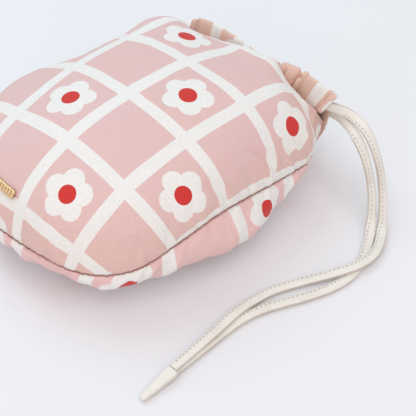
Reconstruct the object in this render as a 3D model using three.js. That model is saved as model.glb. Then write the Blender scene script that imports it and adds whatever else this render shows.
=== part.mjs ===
// Kinchaku drawstring pouch, filled and lying on its back.
// X runs across the pouch, Y from its bottom to its mouth, Z up. The floor is z = 0. Sizes are in mm.
// A front panel, a back panel and a gusset are sewn into the body. Each panel carries a casing at the
// mouth, and one flat leather drawstring runs through both casings and out at the right.

import * as THREE from 'three';

// Driving dimensions
const CLOTH = 1.6;              // doubled cotton of the panels and the gusset
const SEAM_GAP = 0.35;          // clearance between pieces that are sewn or threaded together
const RIGHT_WIDTH = 74;         // from x = 0 to the front seam at the widest place
const LEFT_WIDTH = 80;
const SLIT_RIGHT = 74;          // and at the slits
const SLIT_LEFT = 70;
const BOTTOM_Y = -84;           // bottom seam
const WIDEST_RIGHT_Y = 8;       // where each side of the front seam is widest
const WIDEST_LEFT_Y = -5;
const SLIT_Y = 67;              // where the side seams end and the slits below the casings begin
const HEIGHT = 78;              // top of the filled front panel
const CROWN_X = 8;              // and its place
const CROWN_Y = 0;
const BELLY = 9;                // how far the gusset swells past the front seam
const BACK_INSET = 10;          // how far the back seam lies inside the front seam at the sides
const BACK_SLIT_INSET = 3;      // and at the slits
const BACK_BOTTOM_INSET = 21;
const SQUARENESS = 2.75;        // 2 gives an elliptic bottom, more gives squarer corners
const BELLY_SQUARENESS = 2.05;
const FLAT_SHARE = 0.72;        // share of the back panel, from its middle out, that lies flat
const SHOULDER_BULGE = 2.5;     // outward swell of the shoulders between slit and casing

// Heights of the three gusset lines at the bottom, at the widest place and at the slits
const FRONT_SEAM_Z = { bottom: 28.5, side: 39.5, slitRight: 29, slitLeft: 38 };
const BELLY_Z = { bottom: 18.5, side: 21.5, slitRight: 25.5, slitLeft: 34 };
const BACK_SEAM_Z = { bottom: 5, side: 7, slitRight: 22, slitLeft: 28 };

// Mouth
const CASING_HEIGHT = 20.5;
const CASING_WALL = 0.9;
const CHANNEL_CLEARANCE = 0.6;  // between the strap and each wall of the casing round it
const CASING_LEAN = 0.12;       // run along Y for each mm of rise
const FRONT_SLANT = 0.27;       // the front casing's right end runs this far inwards for each mm down
const MOUTH_LEFT = -42;
const MOUTH_RIGHT = 65;
const BACK_CASING_INSET = 6;    // the back casing is gathered shorter at each end
const FRONT_CASING_Y = 95.5;    // middle of the front casing's base, at the ends of the mouth
const FRONT_CASING_Z = { left: 35, right: 38 }; // its lower edge at both ends
const BACK_CASING_Z = { left: 25, right: 26.5 };
const MOUTH_BOW = 1.5;          // the casings bow towards +Y in the middle
const MOUTH_GAP_END = 1.4;      // between the casings at their ends
const MOUTH_GAP = 10.5;         // and in the middle
const FRONT_SAG = 3.5;          // the front casing hangs this much lower in the middle than at its ends
const BACK_SAG = 5;
const NECK_RISE = 2;            // the front panel meets its casing this far above the lower edge
const LEFT_NECK_RISE = 13;      // and this far at its left end

// Drawstring and its end tab
const STRAP_WIDTH = 5.5;
const STRAP_THICKNESS = 2;
const TAB_ROOT_WIDTH = 7.5;
const TAB_TIP_WIDTH = 3.6;
const TAB_ROOT_THICKNESS = 4.6;
const TAB_TIP_THICKNESS = 2.4;

// Metal bar on the front panel
const BAR_LENGTH = 32;
const BAR_WIDTH = 5;
const BAR_THICKNESS = 1.6;
const BAR_AT = new THREE.Vector2(-18, -75);

// Facets
const GUSSET_STEPS = 60;
const GUSSET_ROWS = 8;
const SHOULDER_STEPS = 4;
const NECK_STEPS = 18;
const DOME_RINGS = 10;
const CASING_STEPS = 26;
const SIDE_SHARE = 0.38;        // share of the gusset's length that runs beside the widest place

// Materials
const cloth = (color) => new THREE.MeshStandardMaterial({ color, roughness: 0.9, metalness: 0 });
const PRINT_PINK = 0xe2c3c2;
const CASING_PINK = 0xd9b9a8;
const LEATHER = 0xece9e2;
const GOLD = 0xcdaa6e;

const group = new THREE.Group();

function addPiece(name, geometry, material) {
  const mesh = new THREE.Mesh(geometry, material);
  mesh.name = name;
  group.add(mesh);
  return mesh;
}

const ease = (t) => t * t * (3 - 2 * t);
const lerp = THREE.MathUtils.lerp;

// Builds one closed body from a grid of points. rows[i][j] are points; the grid wraps round in j when
// wrapJ is set, and in i when wrapI is set. Open ends are not closed here.
function gridFaces(rows, index, faces, { wrapI = false, wrapJ = false, flip = false } = {}) {
  const ni = rows.length;
  const nj = rows[0].length;
  const lastI = wrapI ? ni : ni - 1;
  const lastJ = wrapJ ? nj : nj - 1;
  for (let i = 0; i < lastI; i += 1) {
    for (let j = 0; j < lastJ; j += 1) {
      const a = index(i, j);
      const b = index((i + 1) % ni, j);
      const c = index((i + 1) % ni, (j + 1) % nj);
      const d = index(i, (j + 1) % nj);
      if (flip) faces.push(a, c, b, a, d, c);
      else faces.push(a, b, c, a, c, d);
    }
  }
}

function geometryFrom(points, faces) {
  const geometry = new THREE.BufferGeometry();
  const flat = points.flatMap((p) => [p.x, p.y, p.z]);
  geometry.setAttribute('position', new THREE.Float32BufferAttribute(flat, 3));
  geometry.setIndex(faces);
  return facingOut(geometry);
}

// Turns every face round if the body came out inside out.
function facingOut(geometry) {
  const position = geometry.getAttribute('position');
  const index = geometry.getIndex();
  const corner = [new THREE.Vector3(), new THREE.Vector3(), new THREE.Vector3()];
  let volume = 0;
  for (let i = 0; i < index.count; i += 3) {
    corner.forEach((p, k) => p.fromBufferAttribute(position, index.getX(i + k)));
    volume += corner[0].dot(corner[1].clone().cross(corner[2]));
  }
  if (volume < 0) {
    for (let i = 0; i < index.count; i += 3) {
      const kept = index.getX(i + 1);
      index.setX(i + 1, index.getX(i + 2));
      index.setX(i + 2, kept);
    }
  }
  geometry.computeVertexNormals();
  return geometry;
}

// The U that the gusset follows. u is -1 at the left slit, 0 in the middle of the bottom and 1 at the
// right slit. The bottom and its corners are half of a superellipse, and the sides are nearly straight.
function seamPoint(u, line) {
  const s = Math.abs(u);
  const onLeft = u < 0;
  const width = onLeft ? -line.left : line.right;
  const slitWidth = onLeft ? -line.slitLeft : line.slitRight;
  const widestY = onLeft ? WIDEST_LEFT_Y : WIDEST_RIGHT_Y;
  const depth = widestY - line.bottomY;
  const bottomShare = 1 - SIDE_SHARE;
  if (s < bottomShare) {
    const angle = (Math.PI / 2) * (s / bottomShare);
    const x = width * Math.sin(angle) ** (2 / line.squareness);
    const y = widestY - depth * Math.cos(angle) ** (2 / line.squareness);
    return new THREE.Vector3(x, y, lerp(line.z.bottom, line.z.side, ease(s / bottomShare) ** 3));
  }
  const t = (s - bottomShare) / SIDE_SHARE;
  const z = lerp(line.z.side, onLeft ? line.z.slitLeft : line.z.slitRight, ease(t));
  return new THREE.Vector3(lerp(width, slitWidth, ease(t)), lerp(widestY, SLIT_Y, t), z);
}

const frontSeam = {
  left: LEFT_WIDTH,
  right: RIGHT_WIDTH,
  slitLeft: SLIT_LEFT,
  slitRight: SLIT_RIGHT,
  bottomY: BOTTOM_Y,
  squareness: SQUARENESS,
  z: FRONT_SEAM_Z,
};
const bellyLine = {
  left: LEFT_WIDTH + BELLY,
  right: RIGHT_WIDTH + BELLY,
  slitLeft: SLIT_LEFT + 0.5,
  slitRight: SLIT_RIGHT + 0.5,
  bottomY: BOTTOM_Y,
  squareness: BELLY_SQUARENESS,
  z: BELLY_Z,
};
const backSeam = {
  left: LEFT_WIDTH - BACK_INSET,
  right: RIGHT_WIDTH - BACK_INSET,
  slitLeft: SLIT_LEFT - BACK_SLIT_INSET,
  slitRight: SLIT_RIGHT - BACK_SLIT_INSET,
  bottomY: BOTTOM_Y + BACK_BOTTOM_INSET,
  squareness: SQUARENESS,
  z: BACK_SEAM_Z,
};

// One cross-section of the gusset: a parabola from the front seam over the belly to the back seam.
const BELLY_AT = 0.42;
function gussetPoint(u, t) {
  const front = seamPoint(u, frontSeam);
  const belly = seamPoint(u, bellyLine);
  const back = seamPoint(u, backSeam);
  const point = front.multiplyScalar(((t - BELLY_AT) * (t - 1)) / BELLY_AT);
  point.addScaledVector(belly, (t * (t - 1)) / (BELLY_AT * (BELLY_AT - 1)));
  point.addScaledVector(back, (t * (t - BELLY_AT)) / (1 - BELLY_AT));
  return point;
}

const STEP = 1e-3;
function gussetTangent(u, t) {
  return gussetPoint(u, t + STEP).sub(gussetPoint(u, t - STEP)).normalize();
}

function gussetInward(u, t) {
  const along = gussetPoint(Math.min(u + STEP, 1), t).sub(gussetPoint(Math.max(u - STEP, -1), t));
  const inward = along.cross(gussetTangent(u, t)).normalize();
  const toMiddle = new THREE.Vector3(0, WIDEST_RIGHT_Y, HEIGHT / 2).sub(gussetPoint(u, t));
  return inward.dot(toMiddle) < 0 ? inward.negate() : inward;
}

// Stations along the U, even in length along the front seam.
function evenStations(steps) {
  const fine = 400;
  const lengths = [0];
  for (let k = 1; k <= fine; k += 1) {
    const here = seamPoint(-1 + (2 * k) / fine, frontSeam);
    lengths.push(lengths[k - 1] + here.distanceTo(seamPoint(-1 + (2 * (k - 1)) / fine, frontSeam)));
  }
  const stations = [];
  let k = 0;
  for (let i = 0; i <= steps; i += 1) {
    const wanted = (lengths[fine] * i) / steps;
    while (k < fine - 1 && lengths[k + 1] < wanted) k += 1;
    const share = (wanted - lengths[k]) / (lengths[k + 1] - lengths[k]);
    stations.push(-1 + (2 * (k + Math.min(share, 1))) / fine);
  }
  return stations;
}
const stations = evenStations(GUSSET_STEPS);

function buildGusset() {
  const rows = stations.map((u) => {
    const ring = [];
    for (let j = 0; j <= GUSSET_ROWS; j += 1) ring.push(gussetPoint(u, j / GUSSET_ROWS));
    for (let j = GUSSET_ROWS; j >= 0; j -= 1) {
      const t = j / GUSSET_ROWS;
      ring.push(gussetPoint(u, t).addScaledVector(gussetInward(u, t), CLOTH));
    }
    return ring;
  });
  return sweptSolid(rows);
}

// Joins rings of points into one solid and closes both ends, each with a strip across the ring.
function sweptSolid(rows) {
  const size = rows[0].length;
  const points = rows.flat();
  const faces = [];
  gridFaces(rows, (i, j) => i * size + j, faces, { wrapJ: true });
  const last = (rows.length - 1) * size;
  for (let j = 0; j < size / 2 - 1; j += 1) {
    const across = size - 1 - j;
    const facesAtEnd = [
      [j, j + 1, across],
      [j + 1, across - 1, across],
    ];
    facesAtEnd.forEach(([a, b, c]) => faces.push(a, b, c, last + a, last + c, last + b));
  }
  return geometryFrom(points, faces);
}

// The mouth. A casing is a flat tube that stands on its lower edge and leans towards +Y. Its channel is
// made to fit the strap.
const CASING_THICKNESS = STRAP_THICKNESS + 2 * (CHANNEL_CLEARANCE + CASING_WALL);
const casingUp = new THREE.Vector3(0, CASING_LEAN, 1).normalize();
const casingAcross = new THREE.Vector3(0, 1, -CASING_LEAN).normalize();
const mouthMiddle = (MOUTH_LEFT + MOUTH_RIGHT) / 2;
const mouthHalf = (MOUTH_RIGHT - MOUTH_LEFT) / 2;
const mouthArch = (x) => Math.cos(((x - mouthMiddle) / mouthHalf) * (Math.PI / 2));
function casingFoot(ends, sag, x) {
  const t = (x - MOUTH_LEFT) / (2 * mouthHalf);
  return lerp(ends.left, ends.right, t) - sag * mouthArch(x);
}

const frontCasing = {
  left: MOUTH_LEFT,
  right: MOUTH_RIGHT,
  slant: FRONT_SLANT,
  z: (x) => casingFoot(FRONT_CASING_Z, FRONT_SAG, x),
  y: (x) => FRONT_CASING_Y + MOUTH_BOW * mouthArch(x),
};
const backCasing = {
  left: MOUTH_LEFT + BACK_CASING_INSET,
  right: MOUTH_RIGHT - BACK_CASING_INSET,
  slant: 0,
  z: (x) => casingFoot(BACK_CASING_Z, BACK_SAG, x),
  y: (x) => frontCasing.y(x) + CASING_THICKNESS + lerp(MOUTH_GAP_END, MOUTH_GAP, mouthArch(x)),
};

// A point of a casing: rise is measured from its lower edge, across from the middle of its thickness.
function casingPoint(casing, x, rise, across) {
  const slant = casing.slant * THREE.MathUtils.smoothstep(x, mouthMiddle, MOUTH_RIGHT);
  const point = new THREE.Vector3(x - slant * (CASING_HEIGHT - rise), casing.y(x), casing.z(x));
  point.y += (point.z - FRONT_CASING_Z.right) * CASING_LEAN;
  return point.addScaledVector(casingUp, rise).addScaledVector(casingAcross, across);
}

// A flat oval, as points of rise and across. inset makes the channel inside it.
function casingOval(inset) {
  const halfThickness = CASING_THICKNESS / 2 - inset;
  const low = inset + halfThickness;
  const high = CASING_HEIGHT - inset - halfThickness;
  const oval = [];
  const arcSteps = 4;
  for (let k = 0; k <= arcSteps; k += 1) {
    const angle = (Math.PI * k) / arcSteps;
    oval.push([high + halfThickness * Math.sin(angle), -halfThickness * Math.cos(angle)]);
  }
  for (let k = 0; k <= arcSteps; k += 1) {
    const angle = (Math.PI * k) / arcSteps;
    oval.push([low - halfThickness * Math.sin(angle), halfThickness * Math.cos(angle)]);
  }
  return oval;
}

function buildCasing(casing) {
  const outer = casingOval(0);
  const channel = casingOval(CASING_WALL);
  const points = [];
  for (let i = 0; i <= CASING_STEPS; i += 1) {
    const x = lerp(casing.left, casing.right, i / CASING_STEPS);
    [...outer, ...channel].forEach(([rise, across]) => points.push(casingPoint(casing, x, rise, across)));
  }
  const n = outer.length;
  const faces = [];
  const rows = Array.from({ length: CASING_STEPS + 1 }, () => outer);
  gridFaces(rows, (i, j) => i * 2 * n + j, faces, { wrapJ: true });
  gridFaces(rows, (i, j) => i * 2 * n + n + j, faces, { wrapJ: true, flip: true });
  const last = CASING_STEPS * 2 * n;
  for (let j = 0; j < n; j += 1) {
    const next = (j + 1) % n;
    faces.push(j, next, n + next, j, n + next, n + j);
    faces.push(last + j, last + n + next, last + next, last + j, last + n + j, last + n + next);
  }
  return geometryFrom(points, faces);
}

// Edges of the panels. Each entry has the point on the outer face and the one on the inner face.
function sewnEdge(t) {
  const away = t === 0 ? -SEAM_GAP : SEAM_GAP;
  return stations.map((u) => {
    const tangent = gussetTangent(u, t);
    const outer = gussetPoint(u, t).addScaledVector(tangent, away);
    return { outer, inner: outer.clone().addScaledVector(gussetInward(u, t), CLOTH) };
  });
}

// The free edge of a panel from the slit up to the casing.
function shoulderEdge(from, to) {
  const edge = [];
  for (let k = 1; k <= SHOULDER_STEPS; k += 1) {
    const t = k / (SHOULDER_STEPS + 1);
    const swell = SHOULDER_BULGE * Math.sin(Math.PI * t);
    const shift = new THREE.Vector3(Math.sign(from.outer.x) * swell, 0, 0);
    edge.push({
      outer: from.outer.clone().lerp(to.outer, t).add(shift),
      inner: from.inner.clone().lerp(to.inner, t).add(shift),
    });
  }
  return edge;
}

// The whole edge of a panel: round the gusset from left to right, then back along the mouth.
function panelEdge(t, casing, neckPoint) {
  const sewn = sewnEdge(t);
  const neck = [];
  for (let k = 0; k <= NECK_STEPS; k += 1) {
    neck.push(neckPoint(lerp(casing.right, casing.left, k / NECK_STEPS)));
  }
  const right = shoulderEdge(sewn[sewn.length - 1], neck[0]);
  const left = shoulderEdge(sewn[0], neck[neck.length - 1]).reverse();
  return [...sewn, ...right, ...neck, ...left];
}

function frontNeck(x) {
  const rise = lerp(LEFT_NECK_RISE, NECK_RISE, THREE.MathUtils.smoothstep(x, frontCasing.left, mouthMiddle));
  const outer = casingPoint(frontCasing, x, rise, -CASING_THICKNESS / 2 - SEAM_GAP);
  return { outer, inner: outer.clone().add(new THREE.Vector3(0, -CLOTH, 0)) };
}

function backNeck(x) {
  return {
    outer: casingPoint(backCasing, x, -SEAM_GAP, CLOTH / 2),
    inner: casingPoint(backCasing, x, -SEAM_GAP, -CLOTH / 2),
  };
}

const panelMiddle = new THREE.Vector2(CROWN_X, CROWN_Y);

// A panel as a shell. height(edgeZ, turn) gives the height of a face between its middle, turn 0, and
// its edge, turn 1, and reach(turn) gives how far out that is.
function buildPanel(edge, faceHeights, reach) {
  const faces = [];
  const points = [];
  const count = edge.length;
  const sides = ['outer', 'inner'];
  const firstRing = {};
  sides.forEach((side) => {
    const pole = points.length;
    points.push(new THREE.Vector3(panelMiddle.x, panelMiddle.y, faceHeights[side](edge[0][side].z, 0)));
    firstRing[side] = points.length;
    for (let i = 1; i <= DOME_RINGS; i += 1) {
      const turn = i / DOME_RINGS;
      const out = reach(turn);
      edge.forEach((entry) => {
        const rim = entry[side];
        const x = lerp(panelMiddle.x, rim.x, out);
        const y = lerp(panelMiddle.y, rim.y, out);
        points.push(new THREE.Vector3(x, y, faceHeights[side](rim.z, turn)));
      });
    }
    const flip = side === 'inner';
    for (let j = 0; j < count; j += 1) {
      const a = firstRing[side] + j;
      const b = firstRing[side] + ((j + 1) % count);
      if (flip) faces.push(pole, b, a);
      else faces.push(pole, a, b);
    }
    const rows = Array.from({ length: DOME_RINGS }, () => edge);
    gridFaces(rows, (i, j) => firstRing[side] + i * count + j, faces, { wrapJ: true, flip });
  });
  const rimOf = (side) => firstRing[side] + (DOME_RINGS - 1) * count;
  for (let j = 0; j < count; j += 1) {
    const next = (j + 1) % count;
    const a = rimOf('outer') + j;
    const b = rimOf('outer') + next;
    const c = rimOf('inner') + next;
    const d = rimOf('inner') + j;
    faces.push(a, c, b, a, d, c);
  }
  return geometryFrom(points, faces);
}

// The front panel swells into a flattened dome.
const DOME_ROUND = 0.92;
const DOME_REACH = 0.86;
function buildFrontPanel() {
  const fullness = (turn) => Math.cos((Math.PI / 2) * turn) ** DOME_ROUND;
  const dome = (top) => (edgeZ, turn) => lerp(edgeZ, top, fullness(turn));
  const reach = (turn) => Math.sin((Math.PI / 2) * turn) ** DOME_REACH;
  const heights = { outer: dome(HEIGHT), inner: dome(HEIGHT - CLOTH) };
  return buildPanel(panelEdge(0, frontCasing, frontNeck), heights, reach);
}

// The back panel lies flat and turns up to its seam.
function buildBackPanel() {
  const dish = (low) => (edgeZ, turn) => {
    const t = Math.max(0, (turn - FLAT_SHARE) / (1 - FLAT_SHARE));
    return low + (edgeZ - low) * t ** 2;
  };
  const flatRings = Math.round(DOME_RINGS / 3);
  const reach = (turn) => {
    const flatTurn = flatRings / DOME_RINGS;
    if (turn <= flatTurn) return (FLAT_SHARE * turn) / flatTurn;
    return lerp(FLAT_SHARE, 1, (turn - flatTurn) / (1 - flatTurn));
  };
  const heights = (low) => (edgeZ, turn) => dish(low)(edgeZ, reach(turn));
  return buildPanel(panelEdge(1, backCasing, backNeck), { outer: heights(0), inner: heights(CLOTH) }, reach);
}

// A strap keeps its broad face towards a chosen side at each point of its route.
class StrapRoute extends THREE.CatmullRomCurve3 {
  constructor(points, faceSides) {
    super(points, false, 'centripetal');
    this.faceSides = faceSides;
  }

  computeFrenetFrames(segments) {
    const tangents = [];
    const normals = [];
    const binormals = [];
    const spans = this.faceSides.length - 1;
    for (let i = 0; i <= segments; i += 1) {
      const tangent = this.getTangentAt(i / segments);
      const at = this.getUtoTmapping(i / segments) * spans;
      const k = Math.min(Math.floor(at), spans - 1);
      const side = this.faceSides[k].clone().lerp(this.faceSides[k + 1], at - k);
      side.addScaledVector(tangent, -side.dot(tangent)).normalize();
      tangents.push(tangent);
      normals.push(side);
      binormals.push(new THREE.Vector3().crossVectors(tangent, side).normalize());
    }
    return { tangents, normals, binormals };
  }
}

// Eight-sided section of the strap: thickness along the first axis, width along the second.
function strapSection() {
  const halfT = STRAP_THICKNESS / 2;
  const halfW = STRAP_WIDTH / 2;
  const chamfer = 0.5;
  const corners = [
    [halfT, halfW - chamfer],
    [halfT - chamfer, halfW],
    [chamfer - halfT, halfW],
    [-halfT, halfW - chamfer],
    [-halfT, chamfer - halfW],
    [chamfer - halfT, -halfW],
    [halfT - chamfer, -halfW],
    [halfT, chamfer - halfW],
  ];
  return new THREE.Shape(corners.map(([x, y]) => new THREE.Vector2(x, y)));
}

// Routes of the two free legs, chosen by hand, from the tab to the casings. Near the tab the front leg
// lies on the back leg. The broad face looks up along the floor, and aside near the casings.
const FRONT_LEG = [
  [106.6, -71.6, 4.2], [106.2, -61, 4], [105.6, -49, 3.9], [105, -37, 3.9], [104.2, -25, 3.7],
  [104, -13, 2.5], [106.5, 3, 1.8], [112.4, 19, 1.8], [118.6, 33, 2], [123.6, 44, 3.5],
  [125.4, 54, 4.4], [124.4, 64, 5.1], [122.6, 71.8, 9], [120.4, 76.4, 16.5], [117.2, 80, 24.5],
  [111.4, 83.4, 33], [103.6, 87.6, 41], [94.5, 91.6, 46.4], [84, 95, 48.6], [73, 95.9, 46.3],
];
const BACK_LEG = [
  [107.2, -71.6, 1.8], [107.3, -61, 1.6], [107.3, -49, 1.6], [107.3, -37, 1.6], [108, -25, 1.6],
  [110.6, -13, 1.6], [115.6, -1, 1.6], [122, 12, 1.6], [128, 27, 1.6], [129.6, 40, 1.6],
  [127.4, 51, 1.6], [123.6, 61.5, 2.7], [119.4, 70.6, 5.4], [112.4, 77.4, 12], [105.8, 83, 20],
  [98.6, 88.4, 29.4], [90.6, 93.4, 36.4], [82, 97.2, 40], [74, 99.7, 39.8], [67, 100.7, 37.3],
];
const TAB_ROOT = [107, -71.9, 3];
const TAB_TIP = [107.4, -94.4, 1.7];
const UP = new THREE.Vector3(0, 0, 1);
const ASIDE = new THREE.Vector3(0.75, 0.1, 0.65);
const HANGING_POINTS = 9;
const RUN_STEPS = 8;
const RUN_PAST_END = 2;
const EXIT_REACH = 8;
const TURN_REACH = 9;

// The part of a leg that hangs follows the mouth of its casing when that moves.
function legRoute(list, casing) {
  const leg = list.map((p) => new THREE.Vector3(...p));
  const first = leg.length - HANGING_POINTS;
  const exit = casingPoint(casing, casing.right + EXIT_REACH, CASING_HEIGHT / 2, 0);
  const shift = exit.sub(leg[leg.length - 1]);
  leg.forEach((p, k) => p.addScaledVector(shift, THREE.MathUtils.smoothstep(k, first, leg.length - 1)));
  return { points: leg, sides: leg.map((_, k) => (k < first ? UP : ASIDE)) };
}

// The run inside a casing, from its right end to its left end.
function casingRun(casing, side) {
  const points = [];
  for (let k = 0; k <= RUN_STEPS; k += 1) {
    const x = lerp(casing.right + RUN_PAST_END, casing.left - RUN_PAST_END, k / RUN_STEPS);
    points.push(casingPoint(casing, x, CASING_HEIGHT / 2, 0));
  }
  return { points, sides: points.map(() => side) };
}

const reversed = ({ points, sides }) => ({ points: [...points].reverse(), sides: [...sides].reverse() });

function buildDrawstring() {
  const frontRun = casingRun(frontCasing, casingAcross.clone().negate());
  const backRun = reversed(casingRun(backCasing, casingAcross));
  const turn = frontRun.points[RUN_STEPS].clone().lerp(backRun.points[0], 0.5);
  turn.x = MOUTH_LEFT - TURN_REACH;
  const stretches = [
    legRoute(FRONT_LEG, frontCasing),
    frontRun,
    { points: [turn], sides: [new THREE.Vector3(-1, 0, 0)] },
    backRun,
    reversed(legRoute(BACK_LEG, backCasing)),
  ];
  const route = stretches.flatMap((stretch) => stretch.points);
  const sides = stretches.flatMap((stretch) => stretch.sides);
  return new THREE.ExtrudeGeometry(strapSection(), {
    steps: 80,
    bevelEnabled: false,
    extrudePath: new StrapRoute(route, sides),
  });
}

// The tab that is sewn round both ends: flat, with chamfered edges, thinner and narrower to its tip.
function buildTab() {
  const root = new THREE.Vector3(...TAB_ROOT);
  const tip = new THREE.Vector3(...TAB_TIP);
  const along = tip.clone().sub(root).normalize();
  const aside = new THREE.Vector3().crossVectors(along, UP).normalize();
  const chamfer = 0.7;
  const stationsAlong = [0, 0.08, 0.5, 0.92, 1];
  const rows = stationsAlong.map((t) => {
    const rounding = t === 0 || t === 1 ? 0.8 : 1;
    const halfW = (lerp(TAB_ROOT_WIDTH, TAB_TIP_WIDTH, t) / 2) * rounding;
    const halfT = (lerp(TAB_ROOT_THICKNESS, TAB_TIP_THICKNESS, t) / 2) * rounding;
    const section = [
      [-halfW, chamfer - halfT],
      [-halfW, halfT - chamfer],
      [chamfer - halfW, halfT],
      [halfW - chamfer, halfT],
      [halfW, halfT - chamfer],
      [halfW, chamfer - halfT],
      [halfW - chamfer, -halfT],
      [chamfer - halfW, -halfT],
    ];
    const middle = root.clone().lerp(tip, t);
    return section.map(([w, z]) => middle.clone().addScaledVector(aside, w).addScaledVector(UP, z));
  });
  return sweptSolid(rows);
}

// The bar lies on the front panel, tangent to it at the bar's middle.
function buildBar(panel) {
  const above = new THREE.Vector3(BAR_AT.x, BAR_AT.y, 2 * HEIGHT);
  const ray = new THREE.Raycaster(above, new THREE.Vector3(0, 0, -1));
  const hit = ray.intersectObject(panel)[0];
  const bar = new THREE.BoxGeometry(BAR_LENGTH, BAR_WIDTH, BAR_THICKNESS);
  const along = new THREE.Vector3(1, 0, 0).addScaledVector(hit.face.normal, -hit.face.normal.x).normalize();
  const across = new THREE.Vector3().crossVectors(hit.face.normal, along);
  const middle = hit.point.clone().addScaledVector(hit.face.normal, BAR_THICKNESS / 2 + SEAM_GAP);
  return bar.applyMatrix4(new THREE.Matrix4().makeBasis(along, across, hit.face.normal).setPosition(middle));
}

const metal = new THREE.MeshStandardMaterial({ color: GOLD, roughness: 0.3, metalness: 1 });
const leather = () => new THREE.MeshStandardMaterial({ color: LEATHER, roughness: 0.55, metalness: 0 });

const frontPanel = addPiece('front_panel', buildFrontPanel(), cloth(PRINT_PINK));
addPiece('back_panel', buildBackPanel(), cloth(PRINT_PINK));
addPiece('gusset', buildGusset(), cloth(PRINT_PINK));
addPiece('front_casing', buildCasing(frontCasing), cloth(CASING_PINK));
addPiece('back_casing', buildCasing(backCasing), cloth(CASING_PINK));
addPiece('metal_bar', buildBar(frontPanel), metal);

// The origin is under the middle of the pouch without its drawstring.
const pouch = new THREE.Box3().setFromObject(group);
const middle = pouch.getCenter(new THREE.Vector3());
addPiece('drawstring', buildDrawstring(), leather());
addPiece('drawstring_tab', buildTab(), leather());
group.children.forEach((mesh) => mesh.geometry.translate(-middle.x, -middle.y, 0));

export default group;
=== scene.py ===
"""Kinchaku drawstring pouch: printed cotton body, gathered mouth, flat leather drawstring."""

import math

import bmesh
import bpy
import numpy as np
from bpy.props import FloatProperty, FloatVectorProperty, PointerProperty
from mathutils import Matrix, Vector


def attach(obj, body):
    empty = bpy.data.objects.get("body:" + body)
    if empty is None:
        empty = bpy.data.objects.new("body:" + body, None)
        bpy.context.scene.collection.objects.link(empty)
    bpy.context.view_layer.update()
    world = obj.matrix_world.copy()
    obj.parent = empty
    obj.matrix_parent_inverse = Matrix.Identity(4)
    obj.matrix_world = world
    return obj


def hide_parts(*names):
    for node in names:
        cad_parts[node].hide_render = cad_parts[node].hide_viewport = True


bl_info = {
    "name": "Kinchaku Drawstring Pouch",
    "version": (1, 0, 0),
    "blender": (4, 5, 0),
    "location": "3D View > Sidebar > Pouch",
    "description": "Builds a filled cotton pouch that lies on its back, with its leather drawstring",
    "category": "Object",
}

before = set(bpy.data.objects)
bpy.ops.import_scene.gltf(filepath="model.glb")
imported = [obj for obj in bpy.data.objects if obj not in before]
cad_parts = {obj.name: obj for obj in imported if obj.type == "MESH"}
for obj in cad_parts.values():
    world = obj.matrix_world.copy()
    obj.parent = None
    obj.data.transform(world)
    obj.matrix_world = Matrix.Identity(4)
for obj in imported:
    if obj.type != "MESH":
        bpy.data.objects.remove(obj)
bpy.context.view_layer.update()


# Sewing plan, in millimetres, with the mouth at the top and the drawstring's ends at the right. Its zero is
# 6 mm right of the middle of the pouch and 14.76 mm below it. Each seam runs from the left slit round the
# bottom to the right slit, and each neck from there over the mouth to the left slit.
PLAN_TO_FRAME = np.array([6.0, -14.76, 0.0])

FRONT_SEAM = [
    (-63, 64, 38), (-71, 43, 39), (-78, 20, 41), (-81, -4, 40.5), (-80, -28, 38), (-72, -49, 34.5),
    (-59, -65, 32), (-42, -75.9, 31.2), (-23, -82.8, 29.2), (-3, -83.7, 29.8), (18, -81.4, 29.7),
    (36, -76.6, 28.4), (50, -67, 28), (61.2, -52.3, 30.4), (67, -30, 36.2), (70, -5, 40.2),
    (71.5, 20, 38.3), (71.5, 45, 33.6), (71, 67, 29.8),
]
BELLY_LINE = [
    (-62.4, 64.3, 33.8), (-76, 43, 29), (-86, 20, 26), (-88, -5, 25), (-85, -30, 24), (-76, -51, 22),
    (-60, -67, 21), (-42, -76.6, 20.6), (-23, -84.4, 20), (-3, -84.2, 20.9), (17, -81, 21),
    (33, -75.6, 20), (48.2, -68.8, 18.6), (60.5, -53.6, 19.8), (69.9, -31, 22.8), (78.3, -5, 22.2),
    (79.9, 18, 22.4), (74, 43, 22.4), (71.5, 67, 25.5),
]
BACK_SEAM = [
    (-59, 64, 28), (-62, 43, 14), (-65, 20, 9), (-67, 0, 8), (-64, -22, 7), (-56, -38, 6),
    (-45, -50, 5), (-32, -58, 5), (-18, -63, 5), (-3, -65, 5), (14, -64, 5), (27, -60, 5),
    (38, -52, 5), (47, -39, 6), (53, -22, 7), (57, 0, 8), (60, 20, 8), (61, 43, 11), (66, 66, 22),
]
FRONT_NECK = [
    (71, 67, 29.8), (69, 73.5, 32), (65.5, 79, 34.5), (61.5, 84, 38), (58.5, 89, 41.5), (54.5, 92.8, 42.5),
    (38, 94, 39.5), (18, 94.2, 36.5), (-2, 94.2, 36), (-22, 94, 38.5), (-38, 93, 43), (-49, 92, 46.5),
    (-58, 86, 45), (-62, 75, 41), (-63, 64, 38),
]
BACK_NECK = [
    (66, 66, 22), (64.5, 78, 23.5), (58.5, 89.5, 24.5), (56, 98.5, 26), (38, 104, 23.5), (18, 107.5, 22),
    (-2, 107.5, 21.5), (-22, 104, 22), (-36, 99, 24), (-46, 91, 26.5), (-54, 82, 27), (-58, 73, 27.5),
    (-59, 64, 28),
]

# The point that the rings of both panels close on.
PANEL_MIDDLE = np.array([4.0, 0.0])

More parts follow.
